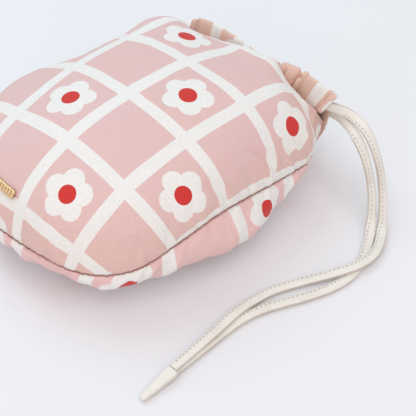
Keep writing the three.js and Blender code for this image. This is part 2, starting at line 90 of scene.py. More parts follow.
# The drawstring: two free legs from the tab into the casings, and its run inside them.
FRONT_LEG = [
    (103.6, -71.6, 4.2), (103.2, -61, 4), (102.6, -49, 3.9), (102, -37, 3.9), (101.2, -25, 3.7),
    (101.2, -13, 2.5), (104, 2.5, 1.8), (110.6, 17, 1.9), (117.2, 28.6, 2.6), (122.6, 38.4, 3.6),
    (126.2, 47, 3.9), (127.2, 57, 3.4), (125.1, 65.8, 3.1), (121.2, 73.4, 3.3), (115.6, 81.6, 5.2),
    (110.9, 87.3, 10.5), (106.6, 91.1, 17.5), (101.9, 93.9, 26), (96.2, 95.6, 35.2), (89.9, 96.5, 43),
    (82.7, 96.8, 48), (75.4, 96.4, 50.2), (68.6, 95.6, 50.4), (60, 94.6, 49.2), (50, 94.6, 46.8),
]
BACK_LEG = [
    (104.2, -71.6, 1.8), (104.3, -61, 1.6), (104.3, -49, 1.6), (104.3, -37, 1.6), (105, -25, 1.6),
    (107.8, -13, 1.6), (113, -1, 1.6), (119.4, 12, 1.5), (124.8, 26, 1.4), (126.8, 38, 1.3),
    (125.6, 48, 1.3), (123.4, 55.4, 1.3), (119.6, 63.6, 1.7), (115.2, 71.4, 3.6), (109.6, 78.7, 9.5),
    (106, 82.6, 15.8), (102.8, 85, 21.5), (99, 86.9, 28), (94, 89.2, 34.2), (87.3, 91.4, 39.8),
    (79.6, 93.6, 43.4), (71.6, 96, 44), (64, 98.5, 42), (54, 101, 39), (45, 103, 36.8),
]
HIDDEN_RUN = [
    (50, 94.6, 46.8), (30, 96.4, 46.5), (10, 97.5, 46.3), (-10, 97.2, 46.3), (-30, 96.6, 46),
    (-44, 95.4, 45), (-50, 95.6, 43.8), (-53.4, 97.6, 41.8), (-50, 99.4, 39.8), (-40, 100.5, 37.8),
    (-22, 106, 37), (0, 109, 37), (18, 108.2, 37), (34, 105.6, 37), (45, 103, 36.8),
]

# Tab over both ends of the drawstring: its ends, and its width and thickness at them.
TAB_ROOT = (104, -71.9, 3)
TAB_TIP = (104.4, -94.4, 1.7)
TAB_WIDTHS = (7.5, 3.6)
TAB_THICKNESSES = (4.6, 2.4)

# Where a strap's face looks: on the floor, in the air and inside the casings.
LOOKS_UP = np.array([0.0, 0.0, 1.0])
LOOKS_ASIDE = np.array([0.75, 0.1, 0.65])
LOOKS_ALONG = np.array([0.0, -0.99, 0.12])

# Metal bar: a point on the front panel that it lies over, its half width, the radius of its ends, the height
# of its middle above the cloth, and the pitch of its grooves.
BAR_MIDDLE = np.array([-21.1, -76.0, 53.6])
BAR_HALF_WIDTH = 2.5
BAR_END_RADIUS = 1.3
BAR_LIFT = 0.75
GROOVE_PITCH = 2.286

# Puffs and hollows of the filled front panel: middle in the plan, reach along x and y, and height.
PANEL_PUFFS = [
    ((6, 87), (20, 10), 7.4),
    ((24, 86), (9, 9), 4.4),
    ((-56, 66), (16, 16), 3.0),
    ((-70, 22), (16, 24), -4.0),
    ((-36, 88), (9, 8), -3.0),
    ((52, 85), (12, 11), -4.2),
]

# Soft creases of the front panel: ends in the plan, half width and depth.
PANEL_CREASES = [
    ((54, -58), (64, -47), 1.6, 1.3),
    ((62, -8), (71, 5), 1.3, 1.3),
    ((62, 28), (71, 40), 1.4, 1.5),
    ((66, 50), (71, 59), 1.3, 1.2),
    ((69, 65), (71, 72), 1.5, 0.7),
    ((20, -80), (24, -70), 2.5, 0.6),
    ((-70, 30), (-80, 20), 2.5, 1.0),
    ((-66, 50), (-60, 74), 3.0, 1.2),
]

# Waves of the cloth, as pairs of length and height.
SEAM_JOGS = [(4.3, 0.3), (6.7, 0.3), (3.1, 0.22)]
FRONT_PUCKERS = [(6.3, 0.26), (9.7, 0.3), (15.1, 0.24)]
FRONT_DRAGS = [(31, 0.35), (47, 0.4)]
FRONT_SWELLS = [(83, 0.5), (57, 0.35)]
GUSSET_PUCKERS = [(5.1, 0.22), (7.9, 0.3), (12.7, 0.34)]
GUSSET_FOLDS = [(17, 0.42), (29, 0.42), (43, 0.35)]
CASING_BENDS = [(5.3, 0.5), (8.9, 0.7)]
CASING_CRUMPLES = [(2.7, 0.2), (4.3, 0.34), (1.9, 0.08)]

# Gathers that fan out from a seam: slant, seed, length, height, and their middle and reach off the seam.
FRONT_GATHERS = [(0.25, 2, 11.0, 0.8, 5, 6), (-0.3, 5, 23.0, 1.1, 9, 11)]
GUSSET_GATHERS = [(0.6, 1, 9.0, 0.8, 5, 7), (-0.9, 4, 19.0, 1.3, 10, 10)]

# Shape of the panels: powers of the crown's quarter wave outwards and upwards, share of the back panel that
# lies flat and its height above the table, and share of the gusset's width at which it is widest.
CROWN_POWERS = (0.86, 0.92)
FLAT_SHARE = 0.7
BACK_HEIGHT = 0.25
BELLY_SHARE = 0.42

# The seam: how far its stitches pull the cloth in and down, where that fades at the slits, and its thread.
SEAM_PULL = (0.8, 0.6)
SLIT_START = 60
SLIT_FADE = 8
THREAD_RADIUS = 0.27
THREAD_SWELL = 0.07

# Thickness of the cloth in the hems beside the slits and in the casings.
HEM_CLOTH = 0.7
CASING_CLOTH = 0.5

# Stitches: length, width and height of one in a hem, share of the pitch, width and height of one in a strap,
# and the shape of every stitch, as share of its length, scale of its section and rise.
HEM_STITCH = (1.6, 0.45, 0.22)
HEM_STITCH_PITCH = 2.3
STRAP_STITCH = (0.66, 0.55, 0.3)
STITCH_SHAPE = [(-0.5, 0.45, -0.6), (-0.32, 0.9, 0.35), (0, 1.0, 1.0), (0.32, 0.9, 0.35), (0.5, 0.45, -0.6)]
STITCH_SIDES = 6

# The print: soft edge of its colours and wander of its lines, in millimetres, and the tone of its white in
# painted shade.
PRINT_EDGE = 0.2
PRINT_WANDER = 0.9
WHITE_IN_SHADE = (0.82, 0.80, 0.72)

# Oval of the body in the frame, in metres: middle and reach along x and y, which sets where the painted shade
# near the seams begins.
BODY_OVAL = [(0.004, 0.077), (-0.006, 0.092)]

# Camera fitted to the photograph: angles, half width and focal length in its pixels, and place in the plan.
CAMERA_AZIMUTH = math.radians(44)
CAMERA_ELEVATION = math.radians(45)
HALF_PICTURE = 208
FOCAL_LENGTH = 1152
CAMERA_PLACE = (358.58, -310.55, 466.37)

# Studio: half width of the floor in millimetres, and light: place and size in metres, power, colour.
FLOOR_REACH = 3000
AIR_COLOUR = (1.0, 0.92, 0.9)
AIR_STRENGTH = 0.66
LIGHTS_AIM = (0.02, 0, 0.03)
LIGHTS = [
    ("key", (-1.0, 0.2, 1.4), 1.1, 9, (0.55, 0.88, 1.0)),
    ("fill", (0.75, -0.35, 1.6), 1.8, 10.5, (1.0, 0.93, 0.9)),
    ("low", (0.45, -1.1, 0.4), 1.0, 2.3, (1.0, 0.82, 0.8)),
]


class PouchSizes(bpy.types.PropertyGroup):
    """Sizes of the pouch."""

    crown: FloatProperty(
        name="Crown", description="Top of the filled front panel", default=0.0795, unit="LENGTH"
    )
    cloth: FloatProperty(
        name="Cloth", description="Thickness of the lined cotton", default=0.0011, unit="LENGTH"
    )
    strap_width: FloatProperty(
        name="Strap Width", description="Width of the folded leather strap", default=0.0055, unit="LENGTH"
    )
    strap_thickness: FloatProperty(
        name="Strap Thickness", description="Thickness of the folded strap", default=0.002, unit="LENGTH"
    )
    stitch: FloatProperty(
        name="Stitch", description="Distance from stitch to stitch", default=0.0026, unit="LENGTH"
    )
    check: FloatProperty(
        name="Check", description="Distance between the printed bands", default=0.044, unit="LENGTH"
    )
    band: FloatProperty(
        name="Band", description="Width of a printed band", default=0.0075, unit="LENGTH"
    )
    blossom: FloatProperty(
        name="Blossom", description="Radius of a printed plum blossom", default=0.0145, unit="LENGTH"
    )
    bar_length: FloatProperty(
        name="Bar Length", description="Length of the metal bar", default=0.032, unit="LENGTH"
    )


class PouchColours(bpy.types.PropertyGroup):
    """Colours of the pouch and its studio."""

    ground: FloatVectorProperty(
        name="Ground", description="Ground of the print", default=(0.745, 0.53, 0.53), subtype="COLOR"
    )
    # Side: a lighter copy of the ground, painted light of the floor's bounce on the gusset.
    side: FloatVectorProperty(
        name="Side", description="Ground of the gusset's print", default=(0.80, 0.555, 0.56), subtype="COLOR"
    )
    # Casing: the same pink cotton tinted tan and lighter, painted shade with warm reflection at the gathered
    # mouth.
    casing: FloatVectorProperty(
        name="Casing", description="Ground of the casings", default=(0.79, 0.568, 0.47), subtype="COLOR"
    )
    # Shade: painted shade, the warm beige of the seams' shade and the cloth's warm reflection, painted on
    # near the seams.
    shade: FloatVectorProperty(
        name="Shade", description="Warmer ground near the seams", default=(0.73, 0.505, 0.43), subtype="COLOR"
    )
    white: FloatVectorProperty(
        name="White", description="Bands and petals", default=(0.83, 0.84, 0.83), subtype="COLOR"
    )
    red: FloatVectorProperty(
        name="Red", description="Hearts of the blossoms", default=(0.62, 0.04, 0.035), subtype="COLOR"
    )
    leather: FloatVectorProperty(
        name="Leather", description="Pale strap leather", default=(0.84, 0.835, 0.78), subtype="COLOR"
    )
    # Leather Edge: the darker colour along the strap's edges.
    leather_edge: FloatVectorProperty(
        name="Leather Edge", description="Cut edge of the leather", default=(0.5, 0.43, 0.36), subtype="COLOR"
    )
    thread: FloatVectorProperty(
        name="Thread", description="Thread of the strap", default=(0.62, 0.60, 0.56), subtype="COLOR"
    )
    seam_thread: FloatVectorProperty(
        name="Seam Thread", description="Thread in the seams", default=(0.44, 0.19, 0.15), subtype="COLOR"
    )
    gold: FloatVectorProperty(
        name="Gold", description="Metal bar", default=(0.80, 0.60, 0.34), subtype="COLOR"
    )
    floor: FloatVectorProperty(
        name="Floor", description="Plain studio floor", default=(0.83, 0.85, 0.89), subtype="COLOR"
    )


def sizes():
    return bpy.context.scene.pouch_sizes


def colours():
    return bpy.context.scene.pouch_colours


# Curves


def unit(vectors):
    """The same directions, each with length 1."""
    return vectors / np.maximum(np.linalg.norm(vectors, axis=-1, keepdims=True), 1e-9)


def through(points, t):
    """Points of a smooth curve through the given ones, at t from 0 to their count less one."""
    p = np.asarray(points, float)
    t = np.clip(np.asarray(t, float), 0, len(p) - 1 - 1e-9)
    k = t.astype(int)
    f = (t - k)[:, None]
    before = p[np.maximum(k - 1, 0)]
    a = p[k]
    b = p[k + 1]
    after = p[np.minimum(k + 2, len(p) - 1)]
    bend = 2 * before - 5 * a + 4 * b - after
    twist = 3 * a - before - 3 * b + after
    return 0.5 * (2 * a + (b - before) * f + bend * f**2 + twist * f**3)


def lengths_along(points):
    steps = np.linalg.norm(np.diff(points, axis=0), axis=1)
    return np.concatenate([[0], np.cumsum(steps)])


def even_steps(points, count):
    """Curve parameters that split the curve into stretches of equal length."""
    fine = np.linspace(0, len(points) - 1, 60 * len(points))
    run = lengths_along(through(points, fine))
    return np.interp(np.linspace(0, run[-1], count), run, fine)


def even_line(points, count):
    return through(points, even_steps(points, count))


def ripple(s, seed, waves):
    """A fixed irregular wave along s."""
    total = np.zeros_like(np.asarray(s, float))
    for k, (length, height) in enumerate(waves):
        total = total + height * np.sin(2 * np.pi * s / length + 1.7 * seed + 2.3 * k)
    return total


def creased(s, seed, length, height):
    """Sharp irregular creases along s: valleys that are narrower than the swells between them."""
    phase = s / length + 0.35 * np.sin(s / (1.7 * length) + seed)
    phase = phase + 0.2 * np.sin(s / (0.61 * length) + 2 * seed)
    strength = 0.6 + 0.4 * np.sin(s / (2.9 * length) + 3 * seed)
    return height * strength * (np.abs(np.sin(np.pi * phase + seed)) ** 0.55 - 0.75)


def bell(distance, width):
    return np.exp(-((distance / width) ** 2))


def squarish(wave, power):
    """A wave whose humps are flattened by a power below 1."""
    return np.sign(wave) * np.abs(wave) ** power


# Meshes


def to_frame(points):
    """From the sewing plan, in millimetres, to the frame, in metres."""
    return (np.asarray(points, float) + PLAN_TO_FRAME) / 1000


def new_object(name, vertices, faces, uv_of_corner=None):
    """A smooth mesh. The cloth's coordinates are in millimetres, and its UV map in tenths of a metre."""
    mesh = bpy.data.meshes.new(name)
    mesh.from_pydata([tuple(v) for v in to_frame(vertices)], [], faces)
    if uv_of_corner is not None:
        layer = mesh.uv_layers.new(name="cloth")
        layer.data.foreach_set("uv", np.ravel(uv_of_corner) / 100)
    mesh.validate()
    mesh.update()
    mesh.shade_smooth()
    obj = bpy.data.objects.new(name, mesh)
    bpy.context.scene.collection.objects.link(obj)
    return obj


def grid_faces(rows, columns, wrap=False):
    faces = []
    for i in range(rows - 1):
        for j in range(columns if wrap else columns - 1):
            k = (j + 1) % columns
            faces.append((i * columns + j, i * columns + k, (i + 1) * columns + k, (i + 1) * columns + j))
    return faces


def tube_faces(rows, columns, turned_caps=False):
    """Wall and caps of a tube made of closed rings. The faces of the caps can be turned round."""
    caps = [tuple(range(columns))[::-1], tuple(range((rows - 1) * columns, rows * columns))]
    if turned_caps:
        caps = [cap[::-1] for cap in caps]
    return grid_faces(rows, columns, wrap=True) + caps


def grid_object(name, points, uv, wrap=False):
    """A sheet from rows of points. With wrap, uv has one column more than points."""
    faces = grid_faces(*points.shape[:2], wrap)
    corners = uv.reshape(-1, 2)[np.array(grid_faces(*uv.shape[:2]))]
    return new_object(name, points.reshape(-1, 3), faces, corners)


def disc_object(name, rings, uv):
    """A sheet from closed rings of points, the outermost first, closed by its middle point."""
    count, columns = rings.shape[:2]
    vertices = np.vstack([rings.reshape(-1, 3), rings[-1].mean(axis=0)])
    flat = np.vstack([uv.reshape(-1, 2), uv[-1].mean(axis=0)])
    faces = grid_faces(count, columns, wrap=True)
    start = (count - 1) * columns
    for j in range(columns):
        faces.append((start + j, start + (j + 1) % columns, count * columns))
    return new_object(name, vertices, faces, [flat[v] for face in faces for v in face])


def face_outwards(obj, inside):
    """Turns the faces so that they look away from a point inside the pouch."""
    mesh = obj.data
    inside = Vector(to_frame([inside])[0])
    votes = sum((1 if (p.center - inside).dot(p.normal) > 0 else -1) * p.area for p in mesh.polygons)
    if votes < 0:
        mesh.flip_normals()


def close_ends(obj, columns, rows):
    """Puts a cap on both ends of a tube and turns its faces outwards."""
    work = bmesh.new()
    work.from_mesh(obj.data)
    work.verts.ensure_lookup_table()
    for ring in (range(columns), reversed(range((rows - 1) * columns, rows * columns))):
        work.faces.new([work.verts[k] for k in ring])
    bmesh.ops.recalc_face_normals(work, faces=work.faces)
    work.to_mesh(obj.data)
    work.free()


def thicken(obj, thickness):
    """Gives a sheet its thickness, in metres, on its inner side."""
    modifier = obj.modifiers.new("Cloth", "SOLIDIFY")
    modifier.thickness = thickness
    modifier.offset = -1
    modifier.use_even_offset = False


def upward_normals(rings):
    """Unit normals of closed rings of points, on the side that looks up."""
    around = np.roll(rings, -1, axis=1) - np.roll(rings, 1, axis=1)
    normal = unit(np.cross(around, np.gradient(rings, axis=0)))
    return normal * np.sign(normal[..., 2].mean())


def distance_from_first(rows):
    """Distance of each point from the first row, along the cloth."""
    steps = np.linalg.norm(np.diff(rows, axis=0), axis=2)
    return np.vstack([np.zeros(rows.shape[1]), np.cumsum(steps, axis=0)])


def cloth_coordinates(along, across):
    return np.stack(np.broadcast_arrays(along, across), axis=2)


# Materials


class Shader:
    """Short forms for building one material's nodes."""

    def __init__(self, name, roughness, metallic=0.0):
        self.material = bpy.data.materials.new(name)
        self.material.use_nodes = True
        self.tree = self.material.node_tree
        self.surface = self.tree.nodes["Principled BSDF"]
        self.surface.inputs["Roughness"].default_value = roughness
        self.surface.inputs["Metallic"].default_value = metallic

    def node(self, kind, **settings):
        node = self.tree.nodes.new(kind)
        for key, value in settings.items():
            setattr(node, key, value)
        return node

    def feed(self, socket, value):
        if isinstance(value, bpy.types.NodeSocket):
            self.tree.links.new(value, socket)
        elif hasattr(value, "__len__") and len(value) == 3 and socket.type == "RGBA":
            socket.default_value = (*value, 1)
        else:
            socket.default_value = value

    def math(self, operation, a, b=0.0, c=0.0):
        node = self.node("ShaderNodeMath", operation=operation)
        for socket, value in zip(node.inputs, (a, b, c)):
            self.feed(socket, value)
        return node.outputs[0]

    def length(self, a, b):
        squares = [self.math("MULTIPLY", w, w) for w in (a, b)]
        return self.math("SQRT", self.math("ADD", *squares))

    def blend(self, factor, a, b, kind="MIX"):
        node = self.node("ShaderNodeMix", data_type="RGBA", blend_type=kind)
        self.feed(node.inputs["Factor"], factor)
        self.feed(node.inputs[6], a)
        self.feed(node.inputs[7], b)
        return node.outputs[2]

    def ramp(self, value, low, high, to_low=0.0, to_high=1.0):
        node = self.node("ShaderNodeMapRange", interpolation_type="SMOOTHSTEP")
        for socket, number in zip(node.inputs, (value, low, high, to_low, to_high)):
            self.feed(socket, number)
        return node.outputs[0]

    def grey(self, value):
        node = self.node("ShaderNodeCombineColor")
        for socket in node.inputs[:3]:
            self.feed(socket, value)
        return node.outputs[0]

    def place(self):
        return self.node("ShaderNodeTexCoord").outputs["Object"]

    def split(self, vector):
        node = self.node("ShaderNodeSeparateXYZ")
        self.feed(node.inputs[0], vector)
        return node.outputs[0], node.outputs[1]

    def noise(self, scale, detail=3.0):
        node = self.node("ShaderNodeTexNoise")
        self.feed(node.inputs["Vector"], self.place())
        self.feed(node.inputs["Scale"], scale)
        self.feed(node.inputs["Detail"], detail)
        return node.outputs[0]

    def uv(self):
        """The cloth's own coordinates, in millimetres."""
        node = self.node("ShaderNodeUVMap", uv_map="cloth")
        return [self.math("MULTIPLY", part, 100.0) for part in self.split(node.outputs[0])]

    def bump(self, height, strength, distance):
        node = self.node("ShaderNodeBump")
        self.feed(node.inputs["Height"], height)
        self.feed(node.inputs["Strength"], strength)
        self.feed(node.inputs["Distance"], distance)
        self.feed(self.surface.inputs["Normal"], node.outputs[0])

    def colour(self, value):
        self.feed(self.surface.inputs["Base Color"], value)


def darker(colour, share):
    return tuple(c * share for c in colour)


def plum_blossom(shader, u, v, radius):
    """Cover of the petals and of the heart of a five-petalled blossom round (0, 0)."""
    petal_place = radius * 0.56
    petal_radius = radius * 0.44
    heart_radius = radius * 0.34
    fifth = 2 * math.pi / 5
    away = shader.length(u, v)
    turn = shader.math("ADD", shader.math("ARCTAN2", v, u), 10 * fifth)
    off_petal = shader.math("SUBTRACT", shader.math("FLOORED_MODULO", turn, fifth), fifth / 2)
    along = shader.math("MULTIPLY", away, shader.math("COSINE", off_petal))
    aside = shader.math("MULTIPLY", away, shader.math("SINE", off_petal))
    distance = shader.length(shader.math("SUBTRACT", along, petal_place), aside)
    petals = shader.ramp(distance, petal_radius, petal_radius - 0.35)
    heart = shader.ramp(away, heart_radius + 0.3, heart_radius)
    return petals, heart


def check_and_blossoms(shader, u, v):
    """Cover of the white bands and petals, and of the red hearts. Every other pane has a blossom."""
    size = sizes()
    check = size.check * 1000
    half_pane = (check - size.band * 1000) / 2
    cells = [shader.math("DIVIDE", w, check) for w in (u, v)]
    inside = []
    bands = []
    for cell in cells:
        offset = shader.math("SUBTRACT", shader.math("FRACT", cell), 0.5)
        offset = shader.math("MULTIPLY", offset, check)
        inside.append(offset)
        offset = shader.math("ABSOLUTE", offset)
        bands.append(shader.ramp(offset, half_pane - PRINT_EDGE, half_pane + PRINT_EDGE))
    number = shader.math("ADD", *[shader.math("FLOOR", cell) for cell in cells])
    chosen = shader.math("LESS_THAN", shader.math("FLOORED_MODULO", number, 2.0), 0.5)
    petals, heart = plum_blossom(shader, *inside, size.blossom * 1000)
    petals = shader.math("MULTIPLY", petals, chosen)
    white = shader.math("MAXIMUM", shader.math("MAXIMUM", *bands), petals)
    return white, shader.math("MULTIPLY", heart, chosen)


def off_middle(shader):
    """0 over the middle of the pouch and 1 above its seams, the mask of the painted shade near the seams."""
    roundness = 2.6
    powers = []
    for place, (middle, reach) in zip(shader.split(shader.place()), BODY_OVAL):
        offset = shader.math("DIVIDE", shader.math("SUBTRACT", place, middle), reach)
        powers.append(shader.math("POWER", shader.math("ABSOLUTE", offset), roundness))
    return shader.math("POWER", shader.math("ADD", *powers), 1 / roundness)


def printed_cotton(name, ground, painted_seam_shade=0.6):
    """Pink cotton with a white windowpane check and plum blossoms in every other pane, with painted shade
    near the seams.
    """
    shader = Shader(name, roughness=0.86)
    tint = colours()
    wander = shader.math("MULTIPLY", shader.math("SUBTRACT", shader.noise(60.0), 0.5), PRINT_WANDER)
    u, v = [shader.math("ADD", w, wander) for w in shader.uv()]
    white, heart = check_and_blossoms(shader, u, v)
    # Random clouds of tone, and painted shade near the seams, turn the ground towards the shade colour.
    cloudy = shader.ramp(shader.noise(14.0), 0.35, 0.7, 0.0, 0.3)
    near_seam = shader.ramp(off_middle(shader), 0.84, 0.98, 0.0, painted_seam_shade)
    warm = shader.math("MAXIMUM", cloudy, near_seam)
    plain = shader.blend(warm, tuple(ground), tuple(tint.shade))
    # The white print in painted shade: random clouds and the painted shade near the seams turn it towards its
    # shaded tone.
    white_in_shade = shader.blend(shader.math("MULTIPLY", warm, 0.5), tuple(tint.white), WHITE_IN_SHADE)
    printed = shader.blend(heart, shader.blend(white, plain, white_in_shade), tuple(tint.red))
    fleck = shader.ramp(shader.noise(900.0, 2.0), 0.3, 0.7, 0.965, 1.03)
    shader.colour(shader.blend(1.0, printed, shader.grey(fleck), "MULTIPLY"))
    waves = [shader.math("SINE", shader.math("MULTIPLY", w, 9.0)) for w in (u, v)]
    threads = shader.math("MULTIPLY", shader.math("MULTIPLY", *waves), 0.25)
    shader.bump(shader.math("ADD", threads, shader.noise(350.0, 4.0)), 0.25, 0.0004)
    shader.surface.inputs["Sheen Weight"].default_value = 0.18
    shader.surface.inputs["Sheen Roughness"].default_value = 0.5
    shader.surface.inputs["Specular IOR Level"].default_value = 0.25
    return shader.material


def plain_thread(name, colour):
    shader = Shader(name, roughness=0.7)
    twist = shader.noise(2500.0, 2.0)
    shader.colour(shader.blend(shader.ramp(twist, 0.3, 0.7), tuple(colour), darker(colour, 0.72)))
    shader.bump(twist, 0.4, 0.0002)
    return shader.material


def strap_leather():
    """Smooth pale leather, darker along the strap's edges."""
    shader = Shader("strap_leather", roughness=0.48)
    tint = colours()
    grain = shader.noise(700.0, 5.0)
    stain = shader.ramp(shader.noise(45.0), 0.4, 0.75, 0.0, 0.22)
    # Darker along both edges of the strap.
    edge = shader.ramp(shader.math("ABSOLUTE", shader.uv()[1]), 2.35, 2.8, 0.0, 0.55)
    tone = shader.math("ADD", stain, edge)
    shader.colour(shader.blend(tone, tuple(tint.leather), tuple(tint.leather_edge)))
    pores = shader.math("MULTIPLY", shader.noise(2600.0, 2.0), 0.4)
    shader.bump(shader.math("ADD", grain, pores), 0.35, 0.0002)
    shader.feed(shader.surface.inputs["Roughness"], shader.ramp(grain, 0.3, 0.7, 0.4, 0.58))
    return shader.material


def gold_metal():
    shader = Shader("gold_metal", roughness=0.22, metallic=1.0)
    brushed = shader.noise(900.0)
    gold = tuple(colours().gold)
    shader.colour(shader.blend(shader.ramp(brushed, 0.3, 0.7), gold, darker(gold, 0.88)))
    shader.feed(shader.surface.inputs["Roughness"], shader.ramp(brushed, 0.3, 0.7, 0.16, 0.3))
    shader.bump(brushed, 0.08, 0.0001)
    return shader.material


def studio_floor():
    shader = Shader("studio_floor", roughness=0.7)
    tint = tuple(colours().floor)
    shader.colour(shader.blend(shader.ramp(shader.noise(3.0), 0.3, 0.7), tint, darker(tint, 0.985)))
    return shader.material


def finish(obj, material, slot, *nodes):
    """Dresses a piece and hides the solids that it stands for."""
    obj.data.materials.append(material)
    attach(obj, "root")
    if nodes:
        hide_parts(*nodes)


# Body of the pouch


def seam_lines(count=320):
    """The three lines of the gusset at the same stations, from the left slit to the right one."""
    t = even_steps(FRONT_SEAM, count)
    return [through(line, t) for line in (FRONT_SEAM, BELLY_LINE, BACK_SEAM)]


def panel_outline(seam, neck, neck_points=200):
    return np.vstack([seam, even_line(neck, neck_points)[1:-1]])


def seam_pull(line):
    """How the stitches pull the seam inwards and to and fro: two vectors for each of its points."""
    inward = unit(np.column_stack([PANEL_MIDDLE - line[:, :2], np.zeros(len(line))]))
    at_slit = np.clip((line[:, 1:2] - SLIT_START) / SLIT_FADE, 0, 1)
    sunk = (inward * SEAM_PULL[0] - LOOKS_UP * SEAM_PULL[1]) * (1 - 0.6 * at_slit)
    left_corner = bell(line[:, 0] + 40, 45) * (line[:, 1] < 30)
    jog = ripple(lengths_along(line), 7, SEAM_JOGS) * (0.35 + 0.65 * left_corner)
    return sunk, (LOOKS_UP * 0.9 + inward * 0.35) * jog[:, None]


def pull_to_seam(rows, from_edge, line):
    sunk, jog = seam_pull(line)
    rows = rows + sunk * bell(from_edge, 1.5)[..., None]
    return rows + jog * bell(from_edge, 4)[..., None]


def gathers(along, off_seam, folds):
    """Height of the gathers that fan out from a seam into the cloth."""
    height = 0
    for slant, seed, length, amount, middle, reach in folds:
        fold = creased(along + slant * off_seam, seed, length, amount)
        height = height + fold * bell(off_seam - middle, reach)
    return height


def soften_rings(rings, turns):
    """Rounds the rings more and more towards the middle, so that no corner runs up the panel."""
    waves = np.fft.rfft(rings, axis=1)
    order = np.arange(waves.shape[1])
    for k, turn in enumerate(turns):
        kept = 3.5 + 220 * turn**6
        waves[k] *= np.exp(-((order / kept) ** 2))[:, None]
    return np.fft.irfft(waves, n=rings.shape[1], axis=1)


def ring_distances(rings):
    """Distance of each point from the panel's edge, and from its middle, along the cloth."""
    from_edge = distance_from_first(rings)
    last = np.linalg.norm(rings[-1] - rings[-1].mean(axis=0), axis=1)
    return from_edge, from_edge[-1] + last - from_edge


def lay_flat(rings, to_middle):
    """The cloth's coordinates: each point at its own distance from the middle, in its own direction."""
    direction = unit(rings[0, :, :2] - PANEL_MIDDLE)
    return PANEL_MIDDLE + direction * to_middle[..., None]


def crease_depth(points, creases):
    """Depth of soft creases, less the swell beside each."""
    depth = np.zeros(points.shape[:2])
    for start, end, width, amount in creases:
        along = np.subtract(end, start)
        offset = points[..., :2] - start
        t = np.clip((offset @ along) / (along @ along), 0, 1)
        aside = np.linalg.norm(offset - t[..., None] * along, axis=2)
        depth += amount * bell(aside, width) * np.sin(np.pi * np.clip(t * 0.8 + 0.1, 0, 1))
        depth -= 0.55 * amount * bell(aside - 2.2 * width, width) * np.sin(np.pi * t)
    return depth


def puff_height(points, puffs):
    height = np.zeros(points.shape[:2])
    for middle, reach, amount in puffs:
        offset = (points[..., :2] - middle) / reach
        height += amount * np.exp(-(offset**2).sum(axis=2))
    return height


def front_panel_rings(ring_count=70):
    """The filled front panel as rings from its seam inwards, and its cloth coordinates."""
    edge = panel_outline(seam_lines()[0], FRONT_NECK)
    crown = sizes().crown * 1000
    turns = np.linspace(1, 0.02, ring_count)
    reach = np.sin(np.pi / 2 * turns) ** CROWN_POWERS[0]
    lift = np.cos(np.pi / 2 * turns) ** CROWN_POWERS[1]
    plan = PANEL_MIDDLE + reach[:, None, None] * (edge[:, :2] - PANEL_MIDDLE)
    height = edge[:, 2] + (crown - edge[:, 2]) * lift[:, None]
    rings = soften_rings(np.dstack([plan, height]), turns)
    rings[0] = edge
    puffs = puff_height(rings, PANEL_PUFFS) * np.clip(ring_distances(rings)[0] / 7, 0, 1)
    rings = rings + upward_normals(rings) * puffs[..., None]
    from_edge, to_middle = ring_distances(rings)
    flat = lay_flat(rings, to_middle)
    along = lengths_along(np.vstack([edge, edge[:1]]))[:-1][None]
    pucker = ripple(along, 1, FRONT_PUCKERS) * bell(from_edge - 4, 4)
    drag = ripple(along, 4, FRONT_DRAGS) * bell(from_edge - 12, 12)
    swell = ripple(flat @ [1, 0.6], 2, FRONT_SWELLS) * np.clip(from_edge / 30, 0, 1)
    relief = pucker + drag + swell + gathers(along, from_edge, FRONT_GATHERS)
    relief = (relief - crease_depth(rings, PANEL_CREASES)) * np.clip(from_edge / 2, 0, 1)
    rings = pull_to_seam(rings + upward_normals(rings) * relief[..., None], from_edge, edge)
    return rings, flat


def back_panel_rings(ring_count=36):
    """The back panel, flat on the table and rising to its seam, and its cloth coordinates."""
    edge = panel_outline(seam_lines()[2], BACK_NECK)
    turns = np.linspace(1, 0.02, ring_count)
    plan = PANEL_MIDDLE + turns[:, None, None] * (edge[:, :2] - PANEL_MIDDLE)
    rise = np.clip((turns - FLAT_SHARE) / (1 - FLAT_SHARE), 0, 1) ** 2
    height = BACK_HEIGHT + (edge[:, 2] - BACK_HEIGHT) * rise[:, None]
    rings = soften_rings(np.dstack([plan, height]), turns)
    rings[0] = edge
    rings[..., 2] = np.maximum(rings[..., 2], BACK_HEIGHT - 0.05)
    return rings, lay_flat(rings, ring_distances(rings)[1])


def gusset_rows(row_count=26):
    """The gusset, from the front seam over the belly line to the back seam, and its cloth coordinates."""
    front, belly, back = seam_lines()
    t = np.linspace(0, 1, row_count)[:, None, None]
    mid = BELLY_SHARE
    rows = front * (t - mid) * (t - 1) / mid + belly * t * (t - 1) / (mid * (mid - 1))
    rows = rows + back * t * (t - mid) / (1 - mid)
    along = lengths_along(front)[None]
    across = distance_from_first(rows)
    share = t[..., 0]
    outward = unit(np.cross(np.gradient(rows, axis=1), np.gradient(rows, axis=0)))
    inside_pouch = (-3, 8, 30)
    outward *= np.sign(((rows - inside_pouch) * outward).sum(axis=2, keepdims=True))
    pucker = ripple(along + 0.5 * across, 3, GUSSET_PUCKERS) * bell(across - 4, 5)
    folds = ripple(along + 24 * share, 5, GUSSET_FOLDS) * np.sin(np.pi * share)
    to_slit = np.minimum(along, along[:, -1:] - along)
    relief = (pucker + folds + gathers(along, across, GUSSET_GATHERS)) * np.clip(to_slit / SLIT_FADE, 0, 1)
    relief = relief * np.clip(across / 2, 0, 1)
    flat = cloth_coordinates(along + 16, across + 11)
    rows = pull_to_seam(rows + outward * relief[..., None], across, front)
    rows[..., 2] = np.maximum(rows[..., 2], 0.3)
    return rows, flat


